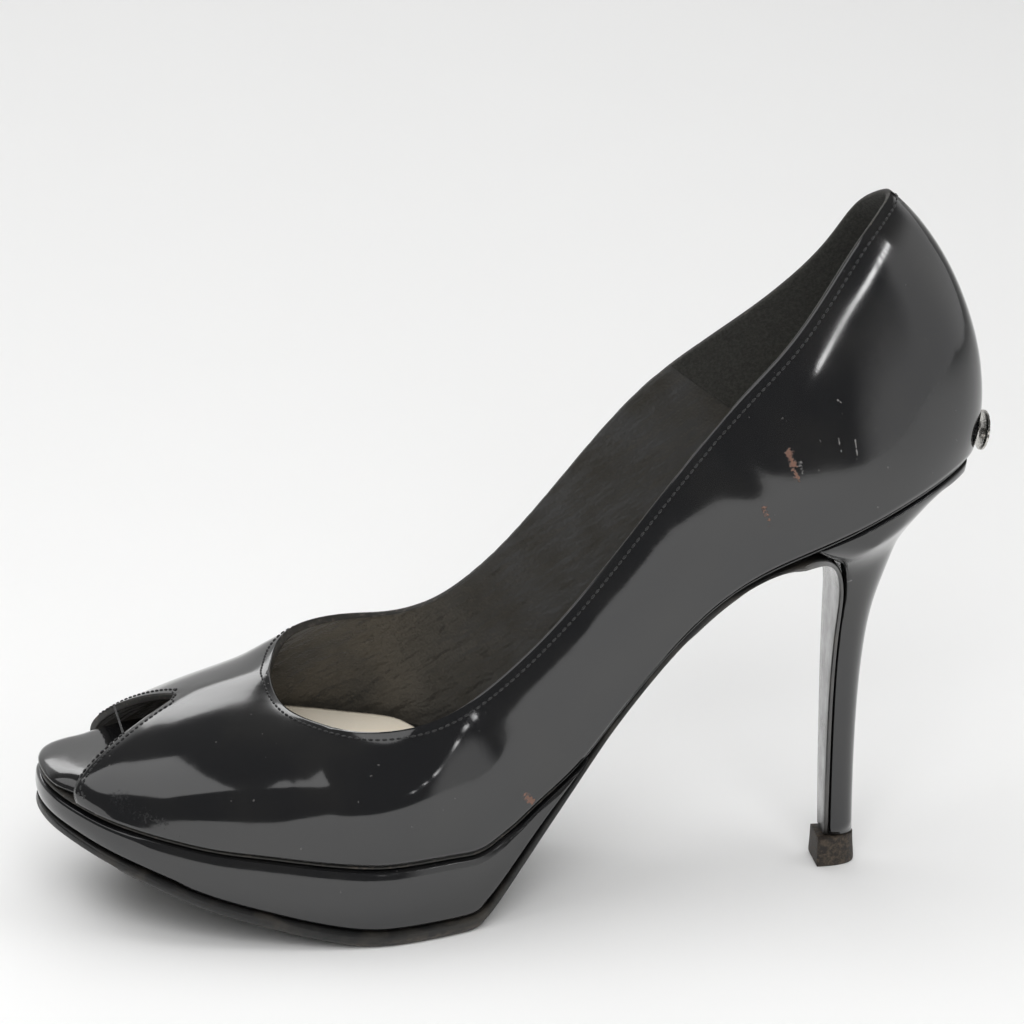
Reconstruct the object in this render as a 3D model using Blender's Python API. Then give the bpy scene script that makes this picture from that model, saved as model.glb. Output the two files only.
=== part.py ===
# Peep toe pump, left shoe: one hollow upper on insole, midsole, platform, outsole and heel.
# X runs from toe to heel, Y from the outer to the inner side, Z up. The floor is Z = 0.

import bpy
import bmesh
import math
import numpy as np

# Driving sizes in metres
LENGTH = 0.2122         # toe tip to back of the seat, seen from above
BALL_WIDTH = 0.0830     # widest line of the forefoot
SEAT_RISE = 0.0947      # climb of the sole from the forefoot to the back of the seat
TOE_SPRING = 0.0220     # lift of the toe tip above the floor
COLLAR_RISE = 0.0600    # height of the upper at the back of the heel
PLATFORM = 0.0142       # thickest part of the platform
OUTSOLE = 0.0033        # thickness of the outsole under the forefoot
MIDSOLE = 0.0009        # thickness of the dark midsole
INSOLE = 0.0055         # insole under the ball
SOCK = 0.0010           # leather sock on the insole
WALL = 0.0018           # leather and lining of the upper together
CLEARANCE = 0.0003      # gap between curved neighbours
STAND = 0.3940          # share of the length at which the forefoot rests, where X = 0
LIFT = 0.0070           # height of the rubber top lift
HEEL_TIP = 0.0094       # width of the heel at its tip
FLAP = 0.0011           # outsole flap on the breast of the heel
HEEL_MOUTH = 0.30       # narrowing of the heel seat at the breast, a share of its width
LIFT_LIP = 0.0012       # how far the top lift stands in front of the flap

PIECE_COLLECTION = "Peep_toe_pump"
CUTTER_COLLECTION = "Cutters"

# Plan of the sole: share of length, outer edge and inner edge as shares of BALL_WIDTH
OUTLINE = (
    (0.000, 0.024, 0.024),
    (0.018, -0.178, 0.187),
    (0.032, -0.235, 0.245),
    (0.0545, -0.305, 0.313),
    (0.094, -0.376, 0.404),
    (0.172, -0.449, 0.472),
    (0.2814, -0.494, 0.506),
    (0.3663, -0.486, 0.476),
    (0.4421, -0.416, 0.392),
    (0.5178, -0.337, 0.313),
    (0.6130, -0.284, 0.253),
    (0.7072, -0.272, 0.247),
    (0.8024, -0.289, 0.277),
    (0.8782, -0.272, 0.270),
    (0.9447, -0.188, 0.188),
    (1.0000, 0.000, 0.000),
)

# Side line of the sole: share of length, share of TOE_SPRING, share of SEAT_RISE
BOTTOM = (
    (0.000, 1.000, 0.0),
    (0.032, 0.905, 0.0),
    (0.054, 0.827, 0.0),
    (0.092, 0.686, 0.0),
    (0.133, 0.523, 0.0),
    (0.173, 0.377, 0.0),
    (0.215, 0.265, 0.0),
    (0.276, 0.109, 0.0),
    (0.319, 0.028, 0.0),
    (0.350, 0.000, 0.0),
    (0.4425, 0.000, 0.0),
    (0.4605, 0.000, 0.020),
    (0.4759, 0.000, 0.059),
    (0.5158, 0.000, 0.176),
    (0.5598, 0.000, 0.306),
    (0.6033, 0.000, 0.437),
    (0.6468, 0.000, 0.551),
    (0.6888, 0.000, 0.650),
    (0.7308, 0.000, 0.732),
    (0.7717, 0.000, 0.793),
    (0.8137, 0.000, 0.834),
    (0.8592, 0.000, 0.876),
    (0.9017, 0.000, 0.915),
    (0.9519, 0.000, 0.957),
    (1.0000, 0.000, 1.000),
)

# Thickness along the length: share of length, share of PLATFORM
PLATFORM_TAPER = (
    (0.000, 0.39),
    (0.032, 0.41),
    (0.054, 0.445),
    (0.092, 0.52),
    (0.133, 0.635),
    (0.173, 0.735),
    (0.276, 0.950),
    (0.328, 1.00),
    (0.4114, 1.00),
    (0.4482, 0.96),
    (0.4707, 0.82),
    (0.4933, 0.60),
    (0.5158, 0.42),
    (0.5373, 0.24),
    (0.5598, 0.085),
    (0.5782, 0.028),
    (0.6033, 0.000),
    (1.0000, 0.000),
)
PLATFORM_END = 0.573    # share of length at which the platform stops

# Outsole: share of length, share of OUTSOLE, inset of its edge as a share of BALL_WIDTH
OUTSOLE_TAPER = (
    (0.0000, 0.80, 0.002),
    (0.2834, 1.00, 0.002),
    (0.5086, 1.00, 0.004),
    (0.6033, 0.88, 0.026),
    (0.6888, 0.97, 0.046),
    (0.7308, 0.88, 0.050),
    (0.7717, 0.57, 0.040),
    (1.0000, 0.50, 0.040),
)

# Insole: share of length, edge and middle as shares of INSOLE, cant to the inner side
INSOLE_TAPER = (
    (0.0000, 0.20, 0.28, 0.00),
    (0.0200, 0.24, 0.52, 0.00),
    (0.0450, 0.30, 0.76, 0.00),
    (0.0787, 0.34, 0.93, 0.01),
    (0.1810, 0.75, 1.00, 0.05),
    (0.3039, 0.80, 1.00, 0.06),
    (0.4677, 0.75, 0.90, 0.06),
    (0.5905, 0.55, 0.60, 0.04),
    (0.7441, 0.48, 0.50, 0.00),
    (1.0000, 0.45, 0.48, 0.00),
)

# Sock: share of length, outer and inner inset as shares of BALL_WIDTH
SOCK_INSET = (
    (0.190, 0.010, 0.010),
    (0.280, 0.000, 0.000),
    (0.408, 0.002, 0.002),
    (0.450, 0.030, 0.085),
    (0.490, 0.050, 0.120),
    (0.590, 0.045, 0.090),
    (0.744, 0.020, 0.030),
    (1.000, 0.015, 0.015),
)
SOCK_START = 0.190      # share of length at which the sock begins

# Upper, outer side. FOOT: share of length on the sole. TOP_X: share of LENGTH, TOP_Y: share of
# BALL_WIDTH, TOP_Z: share of SEAT_RISE + COLLAR_RISE above the sole at the ball. UP, SWELL: lower
# handle along the chord and outwards, as shares of the chord. AHEAD, OUT, DOWN: upper handle as
# shares of COLLAR_RISE.
OUTER_SIDE = (
    (0.0360, 0.1536, 0.048, 0.1732, 0.45, 0.50, 0.167, 0.170, 0.040),
    (0.1094, 0.1904, 0.051, 0.1874, 0.60, 0.66, 0.110, 0.400, 0.010),
    (0.2005, 0.2512, 0.054, 0.2024, 0.66, 0.67, 0.095, 0.520, 0.020),
    (0.2337, 0.2557, -0.090, 0.1846, 0.68, 0.65, 0.110, 0.380, 0.010),
    (0.2814, 0.2837, -0.241, 0.1797, 0.70, 0.60, 0.090, 0.270, 0.045),
    (0.3285, 0.3282, -0.349, 0.1803, 0.68, 0.47, 0.050, 0.150, 0.095),
    (0.3858, 0.3888, -0.401, 0.1946, 0.64, 0.33, 0.020, 0.085, 0.135),
    (0.4615, 0.4533, -0.373, 0.2314, 0.50, 0.17, 0.010, 0.055, 0.170),
    (0.5373, 0.5174, -0.348, 0.3025, 0.42, 0.12, 0.000, 0.050, 0.180),
    (0.6223, 0.5815, -0.319, 0.3950, 0.40, 0.10, -0.050, 0.040, 0.170),
    (0.7072, 0.6546, -0.301, 0.5191, 0.38, 0.09, -0.060, 0.036, 0.170),
    (0.7932, 0.7295, -0.275, 0.6341, 0.36, 0.08, -0.070, 0.036, 0.185),
    (0.8782, 0.7936, -0.245, 0.7246, 0.35, 0.09, -0.090, 0.045, 0.215),
    (0.9447, 0.8497, -0.181, 0.8255, 0.30, 0.11, -0.170, 0.035, 0.235),
    (0.9846, 0.8770, -0.136, 0.8670, 0.26, 0.155, -0.285, 0.020, 0.250),
    (1.0000, 0.9147, 0.000, 0.9050, 0.25, 0.165, -0.305, 0.000, 0.250),
)

# Upper, inner side, the same columns
INNER_SIDE = (
    (0.0360, 0.1536, 0.048, 0.1732, 0.38, 0.33, 0.100, 0.165, 0.032),
    (0.1094, 0.1904, 0.051, 0.1874, 0.47, 0.42, 0.110, 0.290, 0.000),
    (0.2005, 0.2512, 0.054, 0.2024, 0.54, 0.46, 0.095, 0.350, -0.034),
    (0.2337, 0.2630, 0.195, 0.2108, 0.51, 0.41, 0.105, 0.245, -0.015),
    (0.2814, 0.2893, 0.281, 0.2295, 0.46, 0.28, 0.095, 0.130, 0.040),
    (0.3285, 0.3398, 0.348, 0.2308, 0.38, 0.20, 0.050, 0.085, 0.115),
    (0.3858, 0.3883, 0.372, 0.2269, 0.35, 0.12, 0.020, 0.050, 0.150),
    (0.4615, 0.4486, 0.361, 0.2521, 0.33, 0.07, 0.000, 0.035, 0.185),
    (0.5373, 0.5061, 0.336, 0.3187, 0.33, 0.05, -0.015, 0.015, 0.200),
    (0.6223, 0.5697, 0.307, 0.4228, 0.33, 0.03, -0.050, 0.000, 0.200),
    (0.7072, 0.6385, 0.277, 0.5417, 0.33, 0.04, -0.060, 0.000, 0.190),
    (0.7932, 0.7135, 0.257, 0.6341, 0.34, 0.06, -0.070, 0.015, 0.185),
    (0.8782, 0.7851, 0.227, 0.7078, 0.35, 0.08, -0.090, 0.040, 0.215),
    (0.9447, 0.8478, 0.177, 0.7970, 0.30, 0.11, -0.170, 0.035, 0.235),
    (0.9846, 0.8817, 0.148, 0.8640, 0.26, 0.155, -0.285, 0.020, 0.250),
    (1.0000, 0.9147, 0.000, 0.9050, 0.25, 0.165, -0.305, 0.000, 0.250),
)
OPENING = 0.0360        # share of length of the outer corner of the peep toe
INNER_CORNER = 0.0320   # distance of the inner corner behind it, share of length
THROAT = 0.2005         # share of length on the sole below the throat
PROFILE_STEPS = 12

# Heel sections from the seat down: back and front as shares of LENGTH, height at the back and at
# the front as shares of SEAT_RISE, half width as a share of BALL_WIDTH, share of the seat outline
HEEL_SECTIONS = (
    (0.9910, 0.8080, 0.9900, 0.8300, 0.2700, 1.00),
    (0.9605, 0.8301, 0.9490, 0.8180, 0.2350, 0.70),
    (0.9470, 0.8383, 0.9145, 0.8060, 0.1960, 0.35),
    (0.9318, 0.8444, 0.8700, 0.7880, 0.1660, 0.15),
    (0.9207, 0.8475, 0.8340, 0.7620, 0.1460, 0.04),
    (0.9143, 0.8495, 0.7960, 0.7320, 0.1310, 0.00),
    (0.9062, 0.8505, 0.7450, 0.6950, 0.1140, 0.00),
    (0.8961, 0.8485, 0.6830, 0.6560, 0.1010, 0.00),
    (0.8879, 0.8464, 0.6120, 0.6000, 0.0900, 0.00),
    (0.8813, 0.8439, 0.4950, 0.4900, 0.0760, 0.00),
    (0.8772, 0.8426, 0.3500, 0.3500, 0.0650, 0.00),
    (0.8756, 0.8419, 0.1900, 0.1900, 0.0590, 0.00),
)

# Bend and flap of the outsole at the heel: share of LENGTH and of SEAT_RISE on the outer face,
# half width as a share of BALL_WIDTH
FLAP_LINE = (
    (0.8035, 0.8060, 0.262),
    (0.8180, 0.8110, 0.240),
    (0.8320, 0.8030, 0.200),
    (0.8430, 0.7770, 0.160),
    (0.8479, 0.7400, 0.137),
    (0.8494, 0.6950, 0.122),
    (0.8474, 0.6400, 0.108),
    (0.8448, 0.5500, 0.088),
    (0.8426, 0.4000, 0.070),
    (0.8417, 0.2000, 0.061),
)

MATERIALS = {
    "upper": ("Upper_black_patent", (0.012, 0.012, 0.014, 1.0), 0.0, 0.12),
    "insole": ("Insole_black_patent", (0.015, 0.015, 0.017, 1.0), 0.0, 0.20),
    "sock": ("Sock_beige_leather", (0.720, 0.610, 0.450, 1.0), 0.0, 0.55),
    "midsole": ("Midsole_dark", (0.020, 0.018, 0.015, 1.0), 0.0, 0.60),
    "platform": ("Platform_black_patent", (0.012, 0.012, 0.014, 1.0), 0.0, 0.14),
    "outsole": ("Outsole_black_leather", (0.030, 0.030, 0.031, 1.0), 0.0, 0.45),
    "heel": ("Heel_black_patent", (0.012, 0.012, 0.014, 1.0), 0.0, 0.12),
    "top_lift": ("Top_lift_rubber", (0.035, 0.028, 0.022, 1.0), 0.0, 0.65),
    "heel_plate": ("Heel_plate_metal", (0.520, 0.500, 0.470, 1.0), 1.0, 0.30),
}


# Tools for curves and meshes

def clear_scene():
    for obj in list(bpy.data.objects):
        bpy.data.objects.remove(obj, do_unlink=True)


def make_collection(name, cutter=False):
    coll = bpy.data.collections.get(name)
    if coll is None:
        coll = bpy.data.collections.new(name)
        bpy.context.scene.collection.children.link(coll)
    coll.hide_render = cutter
    return coll


def make_material(name, colour, metallic, roughness):
    mat = bpy.data.materials.new(name)
    mat.use_nodes = True
    shader = mat.node_tree.nodes["Principled BSDF"]
    shader.inputs["Base Color"].default_value = colour
    shader.inputs["Metallic"].default_value = metallic
    shader.inputs["Roughness"].default_value = roughness
    mat.diffuse_color = colour
    return mat


def make_solid(name, verts, faces, coll):
    mesh = bpy.data.meshes.new(name)
    mesh.from_pydata([tuple(float(c) for c in v) for v in verts], [], faces)
    bm = bmesh.new()
    bm.from_mesh(mesh)
    bmesh.ops.recalc_face_normals(bm, faces=bm.faces)
    if bm.calc_volume(signed=True) < 0.0:
        bmesh.ops.reverse_faces(bm, faces=bm.faces)
    bm.to_mesh(mesh)
    bm.free()
    mesh.materials.append(make_material(*MATERIALS[name]))
    obj = bpy.data.objects.new(name, mesh)
    coll.objects.link(obj)
    return obj


def angle_of(share):
    """Angle that spreads the shares finely at both rounded ends."""
    return np.arccos(np.clip(1.0 - 2.0 * np.asarray(share, dtype=float), -1.0, 1.0))


def steady(xs, ys, x):
    """Smooth line through points that never overshoots them."""
    xs = np.asarray(xs, dtype=float)
    ys = np.asarray(ys, dtype=float)
    x = np.clip(np.asarray(x, dtype=float), xs[0], xs[-1])
    step = np.diff(xs)
    slope = np.diff(ys) / step
    tangent = np.zeros(len(xs))
    for i in range(1, len(xs) - 1):
        if slope[i - 1] * slope[i] > 0.0:
            w1 = 2.0 * step[i] + step[i - 1]
            w2 = step[i] + 2.0 * step[i - 1]
            tangent[i] = (w1 + w2) / (w1 / slope[i - 1] + w2 / slope[i])
    tangent[0] = slope[0]
    tangent[-1] = slope[-1]
    i = np.clip(np.searchsorted(xs, x, side="right") - 1, 0, len(xs) - 2)
    h = step[i]
    t = (x - xs[i]) / h
    a = (1.0 + 2.0 * t) * (1.0 - t) ** 2
    b = t * (1.0 - t) ** 2
    c = t * t * (3.0 - 2.0 * t)
    d = t * t * (t - 1.0)
    return a * ys[i] + b * h * tangent[i] + c * ys[i + 1] + d * h * tangent[i + 1]


def spline(xs, ys, x):
    """Natural cubic spline, for the flowing lines of outline and upper."""
    xs = np.asarray(xs, dtype=float)
    ys = np.asarray(ys, dtype=float)
    x = np.clip(np.asarray(x, dtype=float), xs[0], xs[-1])
    n = len(xs)
    h = np.diff(xs)
    system = np.zeros((n, n))
    right = np.zeros(n)
    system[0, 0] = 1.0
    system[-1, -1] = 1.0
    for i in range(1, n - 1):
        system[i, i - 1] = h[i - 1]
        system[i, i] = 2.0 * (h[i - 1] + h[i])
        system[i, i + 1] = h[i]
        right[i] = 6.0 * ((ys[i + 1] - ys[i]) / h[i] - (ys[i] - ys[i - 1]) / h[i - 1])
    bend = np.linalg.solve(system, right)
    i = np.clip(np.searchsorted(xs, x, side="right") - 1, 0, n - 2)
    t = x - xs[i]
    b = (ys[i + 1] - ys[i]) / h[i] - h[i] * (2.0 * bend[i] + bend[i + 1]) / 6.0
    d = (bend[i + 1] - bend[i]) / (6.0 * h[i])
    return ys[i] + b * t + 0.5 * bend[i] * t * t + d * t ** 3


def column(table, index):
    return np.array([row[index] for row in table], dtype=float)


# Stations along the length, shared by all layers so that neighbours keep their gap

def make_stations():
    marks = (0.0008, OPENING, THROAT, 0.330, 0.4425, 0.500, 0.610, 0.805, 0.930, 0.9992)
    counts = (8, 8, 10, 6, 6, 6, 7, 5, 7)
    shares = [marks[0]]
    for start, end, count in zip(marks[:-1], marks[1:], counts):
        angles = np.linspace(angle_of(start), angle_of(end), count + 1)[1:]
        shares.extend((1.0 - np.cos(angles)) / 2.0)
    return np.array(shares)


SHARES = make_stations()


def to_x(share):
    return (np.asarray(share, dtype=float) - STAND) * LENGTH


def to_share(x):
    return np.asarray(x, dtype=float) / LENGTH + STAND


STATION_X = to_x(SHARES)
OPENING_AT = int(np.argmin(np.abs(SHARES - OPENING)))
THROAT_AT = int(np.argmin(np.abs(SHARES - THROAT)))


def plan_edges(share):
    angles = angle_of(column(OUTLINE, 0))
    at = angle_of(share)
    outer = spline(angles, column(OUTLINE, 1), at) * BALL_WIDTH
    inner = spline(angles, column(OUTLINE, 2), at) * BALL_WIDTH
    return outer, inner


def plan_side(index, count=500):
    """Dense outer (0) or inner (1) edge with its outward normals."""
    share = (1.0 - np.cos(np.linspace(0.0, math.pi, count))) / 2.0
    y = plan_edges(share)[index]
    x = to_x(share)
    dx = np.gradient(x)
    dy = np.gradient(y)
    length = np.maximum(np.hypot(dx, dy), 1e-9)
    turn = 1.0 if index == 0 else -1.0
    return share, x, y, turn * dy / length, -turn * dx / length


def inset_edges(inset_outer, inset_inner, xs):
    """Outer and inner edge of a layer inside the outline, at the places xs."""
    edges = []
    ends = []
    for index, inset in ((0, inset_outer), (1, inset_inner)):
        share, x, y, nx, ny = plan_side(index)
        amount = inset(share)
        moved_x = x - amount * nx
        moved_y = y - amount * ny
        order = np.argsort(moved_x)
        edges.append((moved_x[order], moved_y[order]))
        ends.append((moved_x.min(), moved_x.max()))
    start = max(ends[0][0], ends[1][0])
    end = min(ends[0][1], ends[1][1])
    xs = np.clip(xs, start, end)
    outer = np.interp(xs, edges[0][0], edges[0][1])
    inner = np.interp(xs, edges[1][0], edges[1][1])
    return outer, inner, start, end


def fixed(value):
    return lambda share: np.full(np.shape(share), float(value))


# Heights at the stations, stacked from the floor up

def stack_heights():
    spring = steady(column(BOTTOM, 0), column(BOTTOM, 1), SHARES) * TOE_SPRING
    rise = steady(column(BOTTOM, 0), column(BOTTOM, 2), SHARES) * SEAT_RISE
    floor_side = spring + rise
    thick = steady(column(OUTSOLE_TAPER, 0), column(OUTSOLE_TAPER, 1), SHARES) * OUTSOLE
    taper = steady(column(PLATFORM_TAPER, 0), column(PLATFORM_TAPER, 1), SHARES) * PLATFORM
    outsole_top = floor_side + thick
    platform_low = outsole_top + CLEARANCE
    platform_top = platform_low + taper
    midsole_low = platform_top + CLEARANCE
    midsole_top = midsole_low + MIDSOLE
    return floor_side, outsole_top, platform_low, platform_top, midsole_low, midsole_top


FLOOR_SIDE, OUTSOLE_TOP, PLATFORM_LOW, PLATFORM_TOP, MIDSOLE_LOW, MIDSOLE_TOP = stack_heights()


def height(levels, x):
    return np.interp(x, STATION_X, levels)


SOLE_LINE = MIDSOLE_TOP + CLEARANCE    # underside of upper and insole
END_REACH = 0.09 * LENGTH              # part of toe and heel in which inset loops are fitted


def layer(name, rings, coll, start=None, end=None):
    """Solid from rings of (outer inset, inner inset, level function), lowest ring first."""
    ends = [inset_edges(ring[0], ring[1], STATION_X)[2:] for ring in rings]
    first = min(low for low, _ in ends) if start is None else start
    last = max(high for _, high in ends) if end is None else end
    middle = STATION_X[(STATION_X > first + 0.0005) & (STATION_X < last - 0.0005)]
    verts = []
    for ring, (low, high) in zip(rings, ends):
        xs = np.concatenate(([first + 0.00008], middle, [last - 0.00008]))
        if start is None:
            xs = xs + (low - first) * np.clip(1.0 - (xs - first) / END_REACH, 0.0, 1.0)
        if end is None:
            xs = xs - (last - high) * np.clip(1.0 - (last - xs) / END_REACH, 0.0, 1.0)
        outer, inner, _, _ = inset_edges(ring[0], ring[1], xs)
        for x, y in zip(xs, outer):
            verts.append((x, y, ring[2](x, y)))
        for x, y in zip(xs[::-1], inner[::-1]):
            verts.append((x, y, ring[2](x, y)))
    return loft(name, verts, len(middle) + 2, len(rings), coll)


def loft(name, verts, stations, rings, coll):
    """Closed solid from stacked loops that run up the outer and back along the inner side."""
    loop = 2 * stations
    faces = []
    for r in range(rings - 1):
        for i in range(loop):
            j = (i + 1) % loop
            faces.append((r * loop + i, r * loop + j, (r + 1) * loop + j, (r + 1) * loop + i))
    for base, flip in ((0, True), ((rings - 1) * loop, False)):
        for i in range(stations - 1):
            a = base + i
            b = base + i + 1
            c = base + loop - 2 - i
            d = base + loop - 1 - i
            for tri in ((a, b, c), (a, c, d)):
                faces.append(tri[::-1] if flip else tri)
    return make_solid(name, verts, faces, coll)


# The sole layers

def build_platform(coll):
    end = to_x(PLATFORM_END)

    def between(share):
        return lambda x, y: height(PLATFORM_LOW, x) * (1.0 - share) + height(PLATFORM_TOP, x) * share

    rings = (
        (fixed(0.0012), fixed(0.0012), between(0.0)),
        (fixed(0.0004), fixed(0.0004), between(0.10)),
        (fixed(0.0000), fixed(0.0000), between(0.45)),
        (fixed(0.0004), fixed(0.0004), between(0.90)),
        (fixed(0.0012), fixed(0.0012), between(1.0)),
    )
    return layer("platform", rings, coll, end=end)


def build_midsole(coll):
    rings = (
        (fixed(0.0010), fixed(0.0010), lambda x, y: height(MIDSOLE_LOW, x)),
        (fixed(0.0010), fixed(0.0010), lambda x, y: height(MIDSOLE_TOP, x)),
    )
    return layer("midsole", rings, coll)


def insole_thickness(x, index):
    share = to_share(x)
    return steady(column(INSOLE_TAPER, 0), column(INSOLE_TAPER, index), share) * INSOLE


def insole_top(x, y, index):
    cant = steady(column(INSOLE_TAPER, 0), column(INSOLE_TAPER, 3), to_share(x))
    return height(SOLE_LINE, x) + insole_thickness(x, index) + cant * y


def insole_inset(extra):
    """Almost flush at the open toe, inside the wall of the upper behind it."""
    def inset(share):
        places = (0.3 * OPENING, 0.85 * OPENING, SOCK_START, 1.3 * SOCK_START)
        tucked = np.interp(share, places, (0.0008, WALL + 0.0021, WALL + 0.0021, WALL + 0.0009))
        domed = np.interp(share, (0.70 * SOCK_START, 1.20 * SOCK_START), (1.0, 0.12))
        return tucked + extra * domed
    return inset


def build_insole(coll):
    def level(share):
        return lambda x, y: (insole_top(x, y, 1) * (1.0 - share) + insole_top(x, y, 2) * share)

    rings = (
        (insole_inset(0.0003), insole_inset(0.0003), lambda x, y: height(SOLE_LINE, x)),
        (insole_inset(0.0), insole_inset(0.0), lambda x, y: height(SOLE_LINE, x) + 0.0006),
        (insole_inset(0.0003), insole_inset(0.0003), level(0.0)),
        (insole_inset(0.0014), insole_inset(0.0014), level(0.55)),
        (insole_inset(0.0032), insole_inset(0.0032), level(0.88)),
        (insole_inset(0.0060), insole_inset(0.0060), level(1.0)),
    )
    return layer("insole", rings, coll)


def build_sock(coll):
    def inset(index):
        return lambda share: (steady(column(SOCK_INSET, 0), column(SOCK_INSET, index), share)
                              * BALL_WIDTH + 0.0034)

    def level(rise):
        return lambda x, y: insole_top(x, y, 2) + CLEARANCE + rise

    rings = (
        (inset(1), inset(2), level(0.0)),
        (inset(1), inset(2), level(SOCK)),
    )
    return layer("sock", rings, coll, start=to_x(SOCK_START))


def build_outsole(coll):
    """Sole from the toe to the waist, then the bend and the flap down the heel breast."""
    keep = SHARES < FLAP_LINE[0][0] - 0.012
    xs = STATION_X[keep]

    def rim(share):
        return steady(column(OUTSOLE_TAPER, 0), column(OUTSOLE_TAPER, 2), share) * BALL_WIDTH

    bend_x = to_x(column(FLAP_LINE, 0))
    bend_z = column(FLAP_LINE, 1) * SEAT_RISE
    bend_z = np.append(bend_z, LIFT + CLEARANCE)
    bend_x = np.append(bend_x, bend_x[-1])
    tangent_x = np.gradient(bend_x)
    tangent_z = np.gradient(bend_z)
    size = np.hypot(tangent_x, tangent_z)
    thick = np.full(len(bend_x), FLAP)
    thick[:3] = (0.85 * OUTSOLE, 0.68 * OUTSOLE, 0.45 * OUTSOLE)
    heel_x = bend_x - tangent_z / size * thick
    heel_z = bend_z + tangent_x / size * thick
    heel_z[-1] = bend_z[-1]
    widths = np.append(column(FLAP_LINE, 2) * BALL_WIDTH, 0.46 * HEEL_TIP)
    verts = []
    for extra, share in ((0.0008, 0.0), (0.0, 0.35), (0.0003, 1.0)):
        def inset(at, e=extra):
            return rim(at) + e
        low = inset_edges(inset, inset, xs)[2]
        tip = xs[0] + 0.00008
        places = xs + (low + 0.00008 - xs[0]) * np.clip(1.0 - (xs - xs[0]) / END_REACH, 0.0, 1.0)
        places[0] = max(places[0], tip)
        outer, inner = inset_edges(inset, inset, places)[:2]
        z = height(FLOOR_SIDE, places) * (1.0 - share) + height(OUTSOLE_TOP, places) * share
        loop_x = np.concatenate((places, bend_x * (1.0 - share) + heel_x * share))
        loop_z = np.concatenate((z, bend_z * (1.0 - share) + heel_z * share))
        left = np.concatenate((outer, -widths + 0.5 * extra))
        right = np.concatenate((inner, widths - 0.5 * extra))
        verts.extend(zip(loop_x, left, loop_z))
        verts.extend(zip(loop_x[::-1], right[::-1], loop_z[::-1]))
    return loft("outsole", verts, len(loop_x), 3, coll)


# The upper

def side_columns(table, index):
    """Bezier points of every column of one side, from the peep toe to the back."""
    ks = np.arange(OPENING_AT, len(SHARES))
    share = SHARES[ks]
    fade = np.clip((THROAT - share) / (THROAT - OPENING), 0.0, 1.0)
    foot_share = share + INNER_CORNER * fade if index == 1 else share
    share_table = column(table, 0)
    angles = angle_of(share_table)
    at = angle_of(share)
    split = int(np.argmin(np.abs(share_table - THROAT)))
    values = []
    for c in range(1, 9):
        data = column(table, c)
        if c > 3:
            values.append(spline(angles, data, at))
            continue
        front = spline(angles[:split + 1], data[:split + 1], at)
        back = spline(angles[split:], data[split:], at)
        values.append(np.where(ks <= THROAT_AT, front, back))
    top_x, top_y, top_z, up, swell, ahead, out, down = values
    turn = -1.0 if index == 0 else 1.0
    edge = plan_edges(foot_share)[index]
    dense = plan_side(index)
    nx = np.interp(foot_share, dense[0], dense[3])
    ny = np.interp(foot_share, dense[0], dense[4])
    foot_line = height(SOLE_LINE, to_x(foot_share))
    foot = np.stack([to_x(foot_share), edge, foot_line], axis=1)
    top_z = float(SOLE_LINE.min()) + top_z * (SEAT_RISE + COLLAR_RISE)
    top = np.stack([to_x(top_x), top_y * BALL_WIDTH, top_z], axis=1)
    chord = top - foot
    reach = np.linalg.norm(chord, axis=1)
    normal = np.stack([nx, ny, np.zeros(len(nx))], axis=1)
    low = foot + chord * up[:, None] + normal * (swell * reach)[:, None]
    high = top + np.stack([-ahead, turn * out, -down], axis=1) * COLLAR_RISE
    t = np.linspace(0.0, 1.0, PROFILE_STEPS + 1)[None, :, None]
    points = ((1 - t) ** 3 * foot[:, None] + 3 * t * (1 - t) ** 2 * low[:, None]
              + 3 * t * t * (1 - t) * high[:, None] + t ** 3 * top[:, None])
    return ease_throat(points), normal


def ease_throat(points):
    """Even out the vamp across the throat column, where ridge and collar meet."""
    middle = THROAT_AT - OPENING_AT
    near = np.arange(max(middle - 6, 1), middle + 8)
    for _ in range(10):
        along = 0.5 * (points[near - 1, 1:-1] + points[near + 1, 1:-1])
        across = 0.5 * (points[near, :-2] + points[near, 2:])
        points[near, 1:-1] = 0.4 * points[near, 1:-1] + 0.35 * along + 0.25 * across
    return points


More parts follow.
